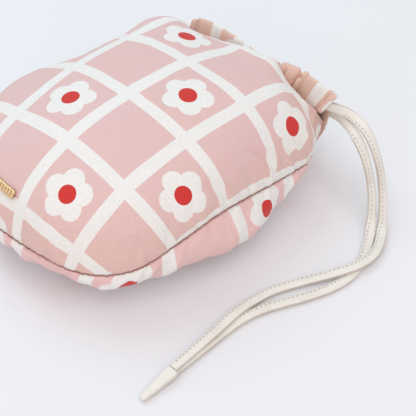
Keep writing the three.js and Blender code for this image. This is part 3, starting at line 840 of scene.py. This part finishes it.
def side_hem(front_edge, back_edge, first, last, bulge, count=60, across=12):
    """The turned hem beside the slit: a strip that starts at one edge and curls towards the other."""
    front = even_line(front_edge, count)
    back = even_line(back_edge, count)
    share = np.linspace(first, last, across)[:, None, None]
    curl = np.array([0.8 * np.sign(front[count // 2, 0]), 0.45, 0.0]) * np.sin(np.pi * share)
    room = np.linalg.norm(front - back, axis=1)[:, None]
    rows = front * (1 - share) + back * share + curl * (0.04 * room + bulge)
    run = lengths_along(front)
    rows[..., 2] += 0.25 * np.sin(run / 2.3) * np.sin(np.pi * share[..., 0])
    return rows, cloth_coordinates(run + 6, distance_from_first(rows) + 9)


def seam_thread(name, line, sides=8):
    """The thread that shows as a thin line down in the seam."""
    sunk, jog = seam_pull(line)
    line = line + sunk * 0.62 + jog
    along = unit(np.gradient(line, axis=0))
    side = unit(np.cross(along, LOOKS_UP))
    over = np.cross(side, along)
    turns = 2 * np.pi * lengths_along(line) / (sizes().stitch * 1000)
    radius = (THREAD_RADIUS + THREAD_SWELL * np.sin(turns))[:, None]
    angles = np.linspace(0, 2 * np.pi, sides, endpoint=False)
    rings = [line + (side * np.cos(a) + over * np.sin(a)) * radius for a in angles]
    points = np.stack(rings, axis=1).reshape(-1, 3)
    return new_object(name, points, tube_faces(len(line), sides, turned_caps=True))


# Mouth of the pouch

FRONT_CASING_BASE = [
    (-46, 93.5, 37), (-36, 94.6, 36.4), (-22, 95.6, 36), (-4, 96, 35.6), (14, 96, 36),
    (28, 95.6, 38.5), (42, 94.6, 42), (57.5, 92.8, 43.6),
]
FRONT_CASING_TOP = [
    (-46, 97, 54.5), (-39, 98, 57), (-26, 98.6, 57.6), (-13, 98.4, 57), (-4, 98.6, 55.4), (14, 98.6, 54),
    (22, 98.4, 56.5), (30, 98, 58.8), (40, 97.6, 59.4), (48, 97, 60.4), (65.6, 96, 58.6),
]
BACK_CASING_BASE = [
    (-37, 99.5, 26), (-26, 103.4, 24), (-10, 106.6, 22.4), (8, 107.6, 22), (26, 105.6, 23),
    (42, 102.4, 25), (57, 98.6, 26.6),
]
BACK_CASING_TOP = [
    (-37, 102, 45), (-26, 105.6, 43), (-10, 108.8, 41.6), (8, 109.8, 41.4), (26, 107.8, 42.4),
    (42, 104.6, 44), (60, 100.2, 45),
]

# Puffs between the gathers: middle and half width along x, fullness, rise of the top edge, and slant.
FRONT_PUFFS = [
    (-30, 12.5, 0.15, 0.2, 0.0), (-13.6, 4.4, 0.3, 0.3, 0.5), (-6.4, 2.9, 1.2, -0.8, 3.0),
    (-0.6, 3.0, 1.9, -0.4, -2.5), (5.2, 2.9, 1.7, 0.4, 2.0), (10.6, 2.6, 2.0, 0.2, -1.0),
    (15.8, 2.7, 2.1, 0.8, 1.0), (23.4, 3.9, 4.4, 1.6, 1.8), (31.6, 4.1, 4.0, 1.5, -2.6),
    (37.4, 1.9, 3.0, 1.8, 1.4),
]
BACK_PUFFS = [
    (-31.5, 4.4, 1.2, 0.8, 0.0), (-23.6, 3.7, 1.7, 1.2, 1.2), (-16.4, 3.8, 2.1, 1.4, -1.2),
    (-8.6, 4.3, 1.9, 1.0, 1.6), (-0.8, 3.8, 2.2, 1.6, -1.0), (6.7, 4.0, 1.9, 1.1, 1.0),
    (14.2, 3.8, 2.2, 1.5, 1.4), (22.0, 4.3, 1.9, 1.2, -1.6), (29.6, 3.6, 2.1, 1.5, 1.0),
    (37.0, 4.0, 1.8, 1.1, -1.0), (44.4, 3.7, 1.3, 0.8, 0.6),
]

# Eyes of the tight folds: place along x, share of the height, radius and depth.
FOLD_EYES = [(23.4, 0.8, 1.1, 3.6), (37.6, 0.84, 0.9, 3.0), (30.5, 0.45, 0.7, 1.6), (34.2, 0.7, 0.5, 1.2)]

# Each casing: its edges, puffs and eyes, the first of its cloth coordinates, and a point inside it.
CASINGS = [
    ("front", FRONT_CASING_BASE, FRONT_CASING_TOP, FRONT_PUFFS, FOLD_EYES, (-18, 12), (5, 98, 47)),
    ("back", BACK_CASING_BASE, BACK_CASING_TOP, BACK_PUFFS, [], (60, 16), (5, 108, 33)),
]

# Sizes of the casings, in millimetres, and the strap's level as a share of their height.
CASING_HALF_DEPTH = 2.0
CASING_HEIGHT = 20
CASING_GIRTH = 42
STRAP_LEVEL = 0.55
HEM_WIDTH = 4.4
HEM_STITCH_INSET = 0.6


def gather_puffs(x, rise, puffs):
    """Fullness of the puffs, how far they lift the top edge, and how tight the gathers between them are."""
    full = np.zeros(np.broadcast(x, rise).shape)
    lift = np.zeros_like(full)
    valley = np.ones_like(full)
    for place, reach, fullness, rising, slant in puffs:
        offset = (x - place - slant * (rise - 0.5)) / reach
        dome = np.sqrt(np.clip(1 - offset**2, 0, 1))
        full = np.maximum(full, fullness * dome)
        lift = np.maximum(lift, rising * dome)
        valley = np.minimum(valley, 1 - dome)
    gathered = (x > puffs[1][0]) & (x < puffs[-1][0])
    off_strap = 1 - bell(rise - STRAP_LEVEL, 0.3)
    return full, lift, np.where(gathered, valley**2, 0) * off_strap


def eye_depth(x, rise, eyes):
    """Depth of the dark eyes where tight folds meet."""
    depth = 0
    for place, share, radius, sink in eyes:
        above = (rise - share) * CASING_HEIGHT
        depth = depth + sink * bell(x - place, radius) * bell(above, radius * 1.2)
    return depth


def casing_grid(base, top, puffs, eyes, first_uv, columns=460, around=64):
    """A gathered flat tube between its lower and upper edge, hemmed at both ends, and its coordinates."""
    low = even_line(base, columns)
    high = even_line(top, columns)
    middle = (low + high) / 2
    forward = unit(np.gradient(middle, axis=0))
    front = unit(np.cross(forward, unit(high - low)))
    angle = np.linspace(0, 2 * np.pi, around, endpoint=False)[None]
    rise = 0.5 - 0.5 * squarish(np.cos(angle), 0.72)
    side = squarish(np.sin(angle), 0.6)
    x = middle[:, :1]
    run = lengths_along(middle)[:, None]
    from_end = np.minimum(run, run[-1] - run)
    full, lift, pinch = gather_puffs(x, rise, puffs)

    # The doubled hem stands proud, with a groove beside it, and the ends are flatter than the middle.
    hem = 0.28 * np.clip((HEM_WIDTH - from_end) / 0.5, 0, 1) - 0.35 * bell(from_end - HEM_WIDTH - 0.5, 0.5)
    flatter = 0.3 * np.clip(1 - from_end / 14, 0, 1)
    depth = (CASING_HALF_DEPTH - flatter + hem) * (1 - 0.85 * pinch)
    depth = depth + full * np.sin(np.pi * rise) ** 0.5 * np.where(side > 0, 1.0, 0.8)
    depth = depth + ripple(run + 5 * rise, 5, CASING_CRUMPLES) * np.clip(full / 1.5, 0, 1)
    bend = 0.3 * np.sin(2 * np.pi * run / 23 + 0.8) + 0.22 * ripple(run, 3, CASING_BENDS)
    outward = depth * side + bend * rise - eye_depth(x, rise, eyes) * (side > 0)
    open_end = 1.4 * np.clip(1 - from_end / 9, 0, 1) * np.sign(run - run[-1] / 2)

    points = low[:, None] + (high - low)[:, None] * rise[..., None]
    points = points + front[:, None] * outward[..., None] + forward[:, None] * (open_end * side)[..., None]
    points[..., 2] += lift * rise**2 - 2.2 * pinch * rise**3 - 0.35
    puffed = np.abs(np.diff(full[:, around // 4], prepend=full[0, around // 4])) * 0.2
    along = run + np.cumsum(puffed)[:, None] + first_uv[0]
    return points, cloth_coordinates(along, np.linspace(0, CASING_GIRTH, around + 1) + first_uv[1])


def flat_size(points):
    """Girth and length of a casing's cloth when it is laid out flat, in metres."""
    closed = np.concatenate([points, points[:, :1]], axis=1)
    girth = np.linalg.norm(np.diff(closed, axis=1), axis=2).sum(axis=1).mean()
    length = np.linalg.norm(np.diff(points, axis=0), axis=2).sum(axis=0).mean()
    return girth / 1000, length / 1000


def hem_stitches(points):
    """Stitches along both hems of a casing, on both of its faces."""
    around = points.shape[1]
    run = lengths_along(points[:, 0])
    stitches = []
    for from_end in (run, run[-1] - run):
        column = int(np.argmin(np.abs(from_end - (HEM_WIDTH - HEM_STITCH_INSET))))
        ring = points[column]
        along = unit(points[column + 2, 0] - points[column - 2, 0])
        length = lengths_along(np.vstack([ring, ring[:1]]))
        for s in np.arange(1.0, length[-1] - 0.5, HEM_STITCH_PITCH):
            k = int(np.searchsorted(length, s)) % around
            step = unit(ring[(k + 1) % around] - ring[k - 1])
            outward = np.cross(step, along)
            outward *= np.sign(outward @ (ring[k] - ring.mean(axis=0)))
            stitches.append(stitch(ring[k] + outward * 0.05, step, along, outward, *HEM_STITCH))
    return stitches


# Drawstring


def strap_section():
    """Outline of the folded strap, width and thickness, with the groove between its two layers."""
    wide = sizes().strap_width * 500
    thick = sizes().strap_thickness * 500
    flat = wide * 0.4
    bevel = 0.3
    groove = 0.45
    return np.array([
        (wide, 0.1), (wide, thick - bevel), (wide - bevel, thick), (flat, thick + 0.05),
        (-flat, thick + 0.05), (bevel - wide, thick), (-wide, thick - bevel), (-wide, bevel - thick),
        (bevel - wide, -thick), (-flat, -thick), (flat, -thick), (wide - bevel, -thick),
        (wide, bevel - thick), (wide, -0.1), (wide - groove, 0.0),
    ])


def strap_frames(route, looks, count):
    """Points along a route, with the directions along it, out of the strap's face and across the strap."""
    t = even_steps(route, count)
    line = through(route, t)
    tangent = unit(np.gradient(line, axis=0))
    face = through(looks, t)
    face = unit(face - (face * tangent).sum(axis=1, keepdims=True) * tangent)
    return line, tangent, face, np.cross(tangent, face)


def strap_object(name, route, looks, narrowed=0.0, step=1.3):
    """A folded strap along a route, narrowed where it starts, and the line that it follows."""
    count = int(lengths_along(even_line(route, 400))[-1] / step)
    line, _, face, wide = strap_frames(route, looks, count)
    section = strap_section()
    scale = 1 - narrowed * np.clip(1 - np.linspace(0, 1, count) / 0.12, 0, 1)
    points = line[:, None] + wide[:, None] * (section[:, 0] * scale[:, None])[..., None]
    points = points + face[:, None] * section[:, 1:]
    girth = np.append(section[:, 0], section[0, 0])
    obj = grid_object(name, points, cloth_coordinates(lengths_along(line)[:, None], girth), wrap=True)
    close_ends(obj, len(section), count)
    return obj, line


def stitch(middle, along, aside, up, length, width, height):
    """A stitch: a small rounded bar that dips into the piece at both ends."""
    points = []
    for share, scale, rise in STITCH_SHAPE:
        centre = middle + along * length * share + up * height * rise
        for angle in 2 * np.pi * np.arange(STITCH_SIDES) / STITCH_SIDES:
            points.append(centre + (aside * width * np.cos(angle) + up * height * np.sin(angle)) * scale / 2)
    return points


def stitch_object(name, stitches):
    one = tube_faces(len(STITCH_SHAPE), STITCH_SIDES)
    step = len(STITCH_SHAPE) * STITCH_SIDES
    faces = [tuple(n * step + k for k in face) for n in range(len(stitches)) for face in one]
    return new_object(name, np.concatenate(stitches), faces)


def strap_stitches(name, route, looks, first=4, last=22, offset=-1.45):
    """The row of stitches along one edge of a strap, from the tab into the casing."""
    line, tangent, face, wide = strap_frames(route, looks, 900)
    run = lengths_along(line)
    pitch = sizes().stitch * 1000
    surface = sizes().strap_thickness * 500
    length, width, height = STRAP_STITCH
    stitches = []
    for s in np.arange(first, run[-1] - last, pitch):
        k = int(np.searchsorted(run, s))
        middle = line[k] + face[k] * (surface + 0.02) + wide[k] * offset
        stitches.append(stitch(middle, tangent[k], wide[k], face[k], pitch * length, width, height))
    return stitch_object(name, stitches)


def leg_looks(route, casing_end=62, turned_by=98, off_floor=5):
    """Where the strap's face looks: up on the floor, aside in the air, along the mouth in the casing."""
    looks = []
    for x, _, z in route:
        out = min(max((x - casing_end) / (turned_by - casing_end), 0), 1)
        in_air = (1 - out) * LOOKS_ALONG + out * LOOKS_ASIDE
        looks.append(in_air if z > off_floor else LOOKS_UP)
    return np.array(looks)


class PouchOperator:
    bl_options = {"REGISTER", "UNDO"}


class POUCH_OT_camera(PouchOperator, bpy.types.Operator):
    """Set the camera at the photograph's viewing angle."""

    bl_idname = "pouch.camera"
    bl_label = "Camera"

    def execute(self, context):
        forward = Vector((
            -math.sin(CAMERA_AZIMUTH) * math.cos(CAMERA_ELEVATION),
            math.cos(CAMERA_AZIMUTH) * math.cos(CAMERA_ELEVATION),
            -math.sin(CAMERA_ELEVATION),
        ))
        right = Vector((math.cos(CAMERA_AZIMUTH), math.sin(CAMERA_AZIMUTH), 0))
        turn = Matrix((right, right.cross(forward), -forward)).transposed().to_4x4()
        data = bpy.data.cameras.new("photo_camera")
        data.sensor_fit = "HORIZONTAL"
        data.angle = 2 * math.atan(HALF_PICTURE / FOCAL_LENGTH)
        data.clip_start = 0.05
        data.clip_end = 20
        camera = bpy.data.objects.new("photo_camera", data)
        camera.matrix_world = Matrix.Translation(to_frame([CAMERA_PLACE])[0]) @ turn
        context.scene.collection.objects.link(camera)
        context.scene.camera = camera
        return {"FINISHED"}


class POUCH_OT_drawstring(PouchOperator, bpy.types.Operator):
    """Lay the folded leather drawstring, with its stitches and the tab on its ends."""

    bl_idname = "pouch.drawstring"
    bl_label = "Drawstring"

    def execute(self, context):
        leather = strap_leather()
        thread = plain_thread("strap_thread", colours().thread)
        tab = self.tab()
        finish(tab, leather, "pale_leather", "drawstring_tab")
        for name, route in (("front_leg", FRONT_LEG), ("back_leg", BACK_LEG)):
            looks = leg_looks(route)
            leg, line = strap_object(f"drawstring_{name}", route, looks, narrowed=0.2)
            finish(leg, leather, "pale_leather", "drawstring")
            stitches = strap_stitches(f"stitches_{name}", route, looks)
            finish(stitches, thread, "pale_leather")
            path = [tuple(p) for p in to_frame(line)]
            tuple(path[-1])
            lengths_along(path)[-1]
        looks = np.array([LOOKS_ALONG] * 7 + [(-1, 0, 0)] + [-LOOKS_ALONG] * 7)
        run, _ = strap_object("drawstring_run", HIDDEN_RUN, looks)
        finish(run, leather, "pale_leather", "drawstring")
        return {"FINISHED"}

    def tab(self):
        """A leather tab folded over both strap ends, tapering to its tip."""
        reach = np.subtract(TAB_TIP, TAB_ROOT)
        aside = unit(np.cross(reach, LOOKS_UP))
        shares = np.array([0, 0.02, 0.06, 0.2, 0.4, 0.6, 0.8, 0.93, 0.985, 1.0])
        rounding = np.array([0.86, 0.97, 1, 1, 1, 1, 1, 0.96, 0.8, 0.45])
        width = np.interp(shares, (0, 1), TAB_WIDTHS) / 2 * rounding
        thickness = np.interp(shares, (0, 1), TAB_THICKNESSES) / 2 * rounding
        section = np.array([
            (1, 0.06), (1, 0.6), (0.86, 0.95), (0.4, 1.0), (-0.4, 1.0), (-0.86, 0.95), (-1, 0.6),
            (-1, -0.6), (-0.86, -0.95), (-0.4, -1), (0.4, -1), (0.86, -0.95), (1, -0.6), (1, -0.06),
            (0.84, 0.0),
        ])
        middle = TAB_ROOT + reach * shares[:, None]
        points = middle[:, None] + aside * (section[:, 0] * width[:, None])[..., None]
        points = points + LOOKS_UP * (section[:, 1] * thickness[:, None])[..., None]
        girth = np.append(section[:, 0], section[0, 0]) * 2.6
        run = shares[:, None] * np.linalg.norm(reach)
        tab = grid_object("drawstring_tab_leather", points, cloth_coordinates(run, girth), wrap=True)
        close_ends(tab, len(section), len(shares))
        return tab


class POUCH_OT_body(PouchOperator, bpy.types.Operator):
    """Sew the front panel, the back panel and the gusset."""

    bl_idname = "pouch.body"
    bl_label = "Body"

    def execute(self, context):
        # The panels' cotton has painted shade near the seams; the gusset's is a lighter copy, painted light
        # of the floor's bounce, without that shade.
        cloth = printed_cotton("printed_cotton", colours().ground)
        side_cloth = printed_cotton("gusset_cotton", colours().side, painted_seam_shade=0.0)
        middle = (-3, 8, 35)
        for obj, material, node in (
            (disc_object("front_panel_cloth", *front_panel_rings()), cloth, "front_panel"),
            (disc_object("back_panel_cloth", *back_panel_rings()), cloth, "back_panel"),
            (grid_object("gusset_cloth", *gusset_rows()), side_cloth, "gusset"),
        ):
            face_outwards(obj, middle)
            thicken(obj, sizes().cloth)
            finish(obj, material, "printed_cotton", node)
        for where, edges in self.slits():
            for name, first, last, bulge in (("front", 0.0, 0.6, 0.6), ("back", 1.0, 0.45, -0.3)):
                hem = grid_object(f"side_hem_{name}_{where}", *side_hem(*edges, first, last, bulge))
                face_outwards(hem, middle)
                thicken(hem, HEM_CLOTH / 1000)
                finish(hem, cloth, "printed_cotton")
        thread = plain_thread("seam_thread", colours().seam_thread)
        finish(seam_thread("seam_thread_front", seam_lines(900)[0]), thread, "printed_cotton")
        return {"FINISHED"}

    def slits(self):
        """Front and back edge of each slit, carried on to the casings and, at the left, into the seam."""
        right = (FRONT_NECK[:6], BACK_NECK[:4] + BACK_CASING_BASE[-1:])
        left_front = [(-63.5, 61.2, 37.8)] + FRONT_NECK[:-6:-1]
        left_back = [(-58.8, 61.5, 26.3)] + BACK_NECK[:-6:-1]
        return (("right", right), ("left", (left_front, left_back)))


class POUCH_OT_casings(PouchOperator, bpy.types.Operator):
    """Gather the two drawstring casings at the mouth."""

    bl_idname = "pouch.casings"
    bl_label = "Casings"

    def execute(self, context):
        # The casings' tan ground is painted shade and warm reflection on the same pink cotton.
        cloth = printed_cotton("casing_cotton", colours().casing)
        thread = plain_thread("hem_thread", tuple(0.6 * c + 0.25 for c in colours().seam_thread))
        for name, base, top, puffs, eyes, first_uv, inside in CASINGS:
            points, uv = casing_grid(base, top, puffs, eyes, first_uv)
            obj = grid_object(f"{name}_casing_cloth", points, uv, wrap=True)
            face_outwards(obj, inside)
            thicken(obj, CASING_CLOTH / 1000)
            finish(obj, cloth, "casing_cotton", f"{name}_casing")
            stitches = stitch_object(f"stitches_{name}_casing", hem_stitches(points))
            finish(stitches, thread, "casing_cotton")
            flat_size(points)
        return {"FINISHED"}


class POUCH_OT_metal_bar(PouchOperator, bpy.types.Operator):
    """Set the plain metal bar on the front panel."""

    bl_idname = "pouch.metal_bar"
    bl_label = "Metal Bar"

    def execute(self, context):
        half = sizes().bar_length * 500
        middle, along, across, up = self.place(half)
        obj = new_object("metal_bar_gold", *self.fluted_bar(half, middle, along, across, up))
        face_outwards(obj, middle)
        finish(obj, gold_metal(), "gold_metal", "metal_bar")
        return {"FINISHED"}

    def place(self, half):
        """The bar's middle on the panel, and its three directions."""
        rings, _ = front_panel_rings()
        offset = rings - BAR_MIDDLE
        near = np.linalg.norm(offset, axis=2) < 5
        up = unit(upward_normals(rings)[near].mean(axis=0))
        along = unit(np.array([1.0, 0, 0]) - up * up[0])
        across = np.cross(up, along)
        height = offset @ up
        under = (np.abs(offset @ along) < half) & (np.abs(offset @ across) < BAR_HALF_WIDTH) & (height > -8)
        surface = np.percentile(height[under], 70)
        return BAR_MIDDLE + up * (surface + BAR_LIFT), along, across, up

    def fluted_bar(self, half, middle, along, across, up):
        """A bar with bevelled edges, rounded ends and fine cross grooves."""
        x = np.linspace(-half, half, 281)
        to_end = np.clip((np.abs(x) - half) / BAR_END_RADIUS + 1, 0, 0.97)
        rounding = np.sqrt(1 - to_end**2)
        groove = 0.42 * bell((x + half) % GROOVE_PITCH - GROOVE_PITCH / 2, 0.3)
        wide = BAR_HALF_WIDTH
        section = np.array([
            (wide, -0.7), (wide, 0.3), (2.3, 0.65), (1.9, 0.9), (0.9, 1.02), (0, 1.05), (-0.9, 1.02),
            (-1.9, 0.9), (-2.3, 0.65), (-wide, 0.3), (-wide, -0.7), (-2.2, -0.85), (0, -0.85), (2.2, -0.85),
        ])
        raised = np.clip(section[:, 1] / 0.9, 0, 1)
        aside = section[:, 0] * (rounding - 0.1 * groove)[:, None]
        height = section[:, 1] * rounding[:, None] ** 0.5 - groove[:, None] * raised
        points = middle + along * x[:, None, None] + across * aside[..., None] + up * height[..., None]
        return points.reshape(-1, 3), tube_faces(len(x), len(section), turned_caps=True)


class POUCH_OT_stage(PouchOperator, bpy.types.Operator):
    """Set the pale floor and the soft studio light."""

    bl_idname = "pouch.stage"
    bl_label = "Stage"

    def execute(self, context):
        reach = FLOOR_REACH
        corners = [(-reach, -reach, 0), (reach, -reach, 0), (reach, reach, 0), (-reach, reach, 0)]
        floor = new_object("floor", corners, [(0, 1, 2, 3)])
        floor.data.materials.append(studio_floor())
        world = bpy.data.worlds.new("studio")
        context.scene.world = world
        world.use_nodes = True
        background = world.node_tree.nodes["Background"]
        background.inputs["Color"].default_value = (*AIR_COLOUR, 1)
        background.inputs["Strength"].default_value = AIR_STRENGTH
        for light in LIGHTS:
            context.scene.collection.objects.link(self.softbox(*light))
        context.scene.view_settings.view_transform = "Standard"
        context.scene.view_settings.look = "None"
        return {"FINISHED"}

    def softbox(self, name, place, size, power, colour):
        """A square soft light that looks at the pouch and doesn't show in the picture."""
        data = bpy.data.lights.new(name, "AREA")
        data.shape = "SQUARE"
        data.size = size
        data.energy = power
        data.color = colour
        light = bpy.data.objects.new(name, data)
        aim = Vector(LIGHTS_AIM) - Vector(place)
        light.location = place
        light.rotation_euler = aim.to_track_quat("-Z", "Y").to_euler()
        light.visible_camera = False
        return light


OPERATORS = (
    POUCH_OT_camera,
    POUCH_OT_drawstring,
    POUCH_OT_body,
    POUCH_OT_casings,
    POUCH_OT_metal_bar,
    POUCH_OT_stage,
)


class POUCH_PT_sidebar(bpy.types.Panel):
    """Lists the steps that build the pouch."""

    bl_idname = "POUCH_PT_sidebar"
    bl_label = "Kinchaku Pouch"
    bl_space_type = "VIEW_3D"
    bl_region_type = "UI"
    bl_category = "Pouch"

    def draw(self, context):
        for group in (context.scene.pouch_sizes, context.scene.pouch_colours):
            for key in group.bl_rna.properties.keys():
                if key not in {"rna_type", "name"}:
                    self.layout.prop(group, key)
        for operator in OPERATORS:
            self.layout.operator(operator.bl_idname)


CLASSES = (PouchSizes, PouchColours, *OPERATORS, POUCH_PT_sidebar)


def register():
    for item in CLASSES:
        bpy.utils.register_class(item)
    bpy.types.Scene.pouch_sizes = PointerProperty(type=PouchSizes)
    bpy.types.Scene.pouch_colours = PointerProperty(type=PouchColours)


def unregister():
    del bpy.types.Scene.pouch_sizes
    del bpy.types.Scene.pouch_colours
    for item in reversed(CLASSES):
        bpy.utils.unregister_class(item)


def main():
    register()
    bpy.ops.pouch.camera()
    bpy.ops.pouch.drawstring()
    bpy.ops.pouch.body()
    bpy.ops.pouch.casings()
    bpy.ops.pouch.metal_bar()
    bpy.ops.pouch.stage()


if __name__ == "__main__":
    main()
